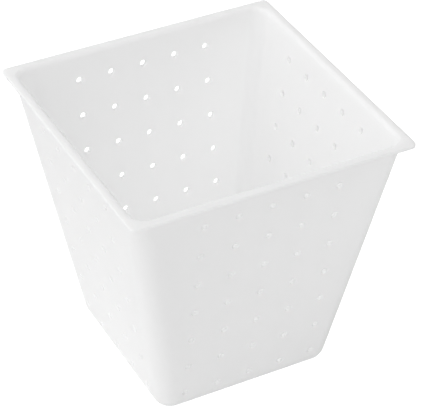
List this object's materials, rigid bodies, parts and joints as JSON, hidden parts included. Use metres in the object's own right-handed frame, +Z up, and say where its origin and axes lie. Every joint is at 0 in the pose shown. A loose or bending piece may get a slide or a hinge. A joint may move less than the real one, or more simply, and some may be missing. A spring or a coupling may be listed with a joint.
{
  "type": "cheese mold",
  "caption": "Square tapered soft-cheese mold in thin white plastic, with a narrow rim, rounded corners and drain holes through walls and floor.",
  "frame": {"origin": "centre of the flat underside", "axes": "+Z up through the middle of the open mouth, +X and +Y square to two neighbouring walls"},
  "size_m": [0.104, 0.104, 0.1],
  "materials": {
    "food_plastic": "translucent natural white polypropylene, satin as moulded"
  },
  "bodies": {
    "root": {"mould_shell": "food_plastic"}
  },
  "joints": []
}
